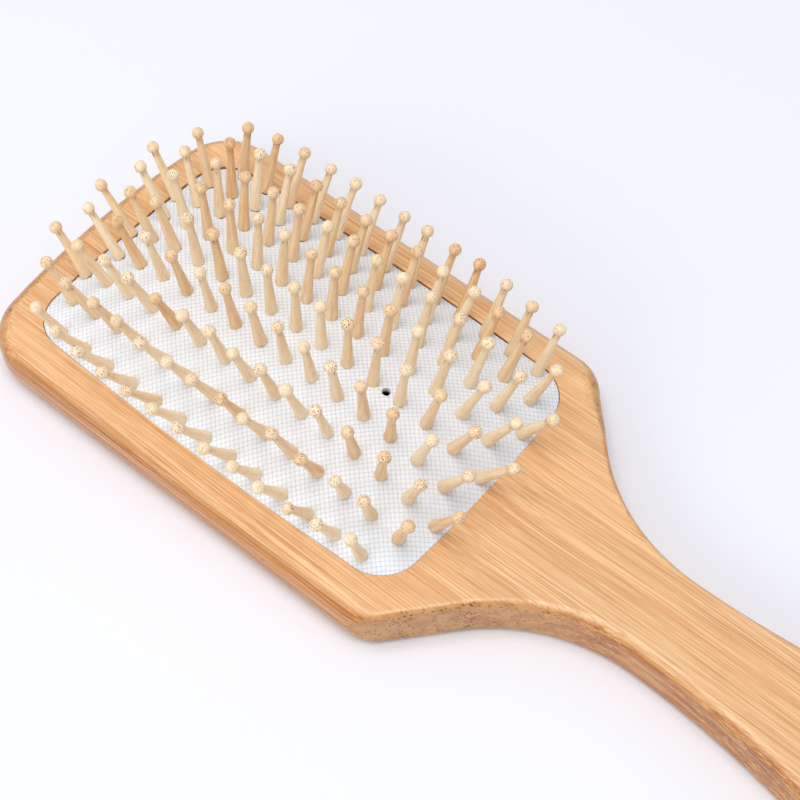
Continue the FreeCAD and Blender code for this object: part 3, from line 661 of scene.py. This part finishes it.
def build_pin_row(node, profile, material, chance):
    """One cross row of turned pins in place of its CAD node."""
    points, quads, places, ends, tones, specks = [], [], [], [], [], []
    total = 0
    for foot, axis in pin_axes(node):
        pin_points, pin_quads, place, end = turned_pin(profile, foot, axis, chance)
        points.append(pin_points)
        quads.append(pin_quads + total)
        total += len(pin_points)
        places.append(place)
        ends.append(end)
        tones.append(np.full(len(end), chance.betavariate(*TONE_SHAPE)))
        specks.append(np.full(len(end), chance.uniform(*SPECK_STRENGTHS)))
    obj = new_mesh("turned_" + node, np.concatenate(points), np.concatenate(quads))
    merge = obj.modifiers.new("Closed ends", "WELD")
    merge.merge_threshold = SAME_POINT
    point_attribute(obj, "pin_place", "FLOAT_VECTOR", np.concatenate(places))
    point_attribute(obj, "pin_end", "FLOAT", np.concatenate(ends))
    point_attribute(obj, "pin_tone", "FLOAT", np.concatenate(tones))
    point_attribute(obj, "pin_speck", "FLOAT", np.concatenate(specks))
    obj.data.materials.append(material)
    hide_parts(node)
    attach(obj, node.replace("pin_row", "row"))


# ---------------------------------------------------------------- the object
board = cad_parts["bamboo_body"]
board.data.materials.clear()
board.data.materials.append(bamboo_board_material())

chance = random.Random(7)
profile = pin_profile()
turned = pin_material()
feet = [foot for node in PIN_ROWS for foot, _ in pin_axes(node)]
for node in PIN_ROWS:
    build_pin_row(node, profile, turned, chance)

feet = [(foot[0] - PAD_X, foot[1]) for foot in feet]
vent = (VENT_X - PAD_X, 0.0, VENT_RADIUS)
stem_holes = [(x, y, STEM_HOLE_RADIUS) for x, y in feet]

x, y, quads = cushion_grid(CLOTH_STEP, stem_holes + [vent])
lift = between(*settled_cloth(feet), x, y)
inward = np.clip(-outline_distance(x, y) / RIM_REACH, 0, 1)
lift += SEAT_RISE * seated(x, y) * (1 - inward) ** 2 - rim_drop(x, y)
depth = WEAVE_DEPTH * (1 - weave(x, y)) * np.minimum(1, 0.2 + 2 * inward) - lift
hem = [(0.0, CROWN_EDGE - HEM_TURN), (-HEM_TUCK, CROWN_EDGE - HEM_FOOT)]
face, back = crown(x, y, depth), crown(x, y, CLOTH_THICKNESS - lift)
cloth = closed_shell("woven_cloth", x, y, quads, face, back, hem)
for vertex in cloth.data.vertices:
    loose = 1 - seated(vertex.co.x - PAD_X, vertex.co.y)
    vertex.co.x += SEAT_GAP * loose * max(0.0, (PAD_X - vertex.co.x) / POCKET_LENGTH)
    vertex.co.y -= SEAT_GAP * loose * max(0.0, vertex.co.y / POCKET_WIDTH)
cloth.data.materials.append(cloth_material())
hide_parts("cushion_fabric")

x, y, quads = cushion_grid(RUBBER_STEP, stem_holes + [vent])
pull = RUBBER_WALL * np.clip(1 + outline_distance(x, y) / WALL_SWEEP, 0, 1) ** 2
along, across = gradient(outline_distance, x, y, SLOPE_STEP)
top = crown(x, y, RUBBER_DEPTH + rim_drop(x, y))
inner = crown(x, y, RUBBER_DEPTH + RUBBER_THICKNESS + rim_drop(x, y))
inner[:, 0] -= pull * along
inner[:, 1] -= pull * across
flange = [
    (0.0, FLANGE_TOP),
    (FLANGE_REACH, FLANGE_TOP),
    (FLANGE_REACH, rubber_low.z),
    (-RUBBER_WALL, rubber_low.z),
]
rubber = closed_shell("rubber_bladder", x, y, quads, top, inner, flange)
rubber.data.materials.append(rubber_material())
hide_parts("rubber_cushion")

# The foot of the cushion sits in the board, and the rubber lies deeper than the cloth. Both pieces have
# their placement baked into their points.
for piece, deeper in ((cloth, 0.0), (rubber, RUBBER_DEPTH + 0.1 * MM)):
    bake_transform(piece)

# ---------------------------------------------------------------- floor, light and camera
FLOOR_SIZE = 6.0
half = FLOOR_SIZE / 2
corners = [(-half, -half, 0), (half, -half, 0), (half, half, 0), (-half, half, 0)]
floor = new_mesh("floor", corners, [(0, 1, 2, 3)])
floor_nodes = Nodes("pale_table")
haze = floor_nodes.noise(floor_nodes.add("TexCoord").outputs["Object"], scale=3.0)
floor.data.materials.append(floor_nodes.finish(
    Base_Color=floor_nodes.mix(haze, TABLE_DEEP, TABLE_LIGHT),
    Roughness=floor_nodes.span(haze, 0.3, 0.7, 0.45, 0.5), Specular_IOR_Level=0.3))

SKY_COLOUR, SKY_STRENGTH = (0.96, 0.97, 1.0, 1.0), 0.52
world = bpy.data.worlds.new("studio")
bpy.context.scene.world = world
world.use_nodes = True
sky = world.node_tree.nodes["Background"]
sky.inputs["Color"].default_value = SKY_COLOUR
sky.inputs["Strength"].default_value = SKY_STRENGTH

MIDDLE = Vector((0.0, 0.0, board_high.z))


def softbox(name, direction, away, width, length, power):
    """Area light facing the brush's middle from a direction."""
    lamp = bpy.data.lights.new(name, "AREA")
    lamp.shape = "RECTANGLE"
    lamp.size, lamp.size_y = width, length
    lamp.energy = power
    obj = bpy.data.objects.new(name, lamp)
    bpy.context.scene.collection.objects.link(obj)
    towards = Vector(direction).normalized()
    obj.location = MIDDLE + towards * away
    obj.rotation_euler = towards.to_track_quat("Z", "Y").to_euler()


softbox("softbox_above", (-0.05, -0.1, 1.0), away=1.5, width=0.9, length=0.9, power=12.0)
softbox("softbox_front", (-0.2, -0.85, 0.5), away=1.2, width=1.0, length=0.35, power=3.0)

EYE = Vector((106.8, -165.5, 345.8)) * MM
AIM = Vector((-31.66, 5.56, 12.5)) * MM
ROLL = math.radians(-0.81)
SENSOR_WIDTH, FOCAL_LENGTH = 36.0, 79.93               # mm
lens = bpy.data.cameras.new("camera")
lens.sensor_width = SENSOR_WIDTH
lens.lens = FOCAL_LENGTH
lens.clip_start, lens.clip_end = 0.01, 20.0
camera = bpy.data.objects.new("camera", lens)
bpy.context.scene.collection.objects.link(camera)
forward = (AIM - EYE).normalized()
sideways = forward.cross(Vector((0, 0, 1))).normalized()
up = math.cos(ROLL) * sideways.cross(forward) + math.sin(ROLL) * sideways
right = forward.cross(up)
camera.matrix_world = Matrix.Translation(EYE) @ Matrix((right, up, -forward)).transposed().to_4x4()
bpy.context.scene.camera = camera
bpy.context.scene.view_settings.view_transform = "Standard"
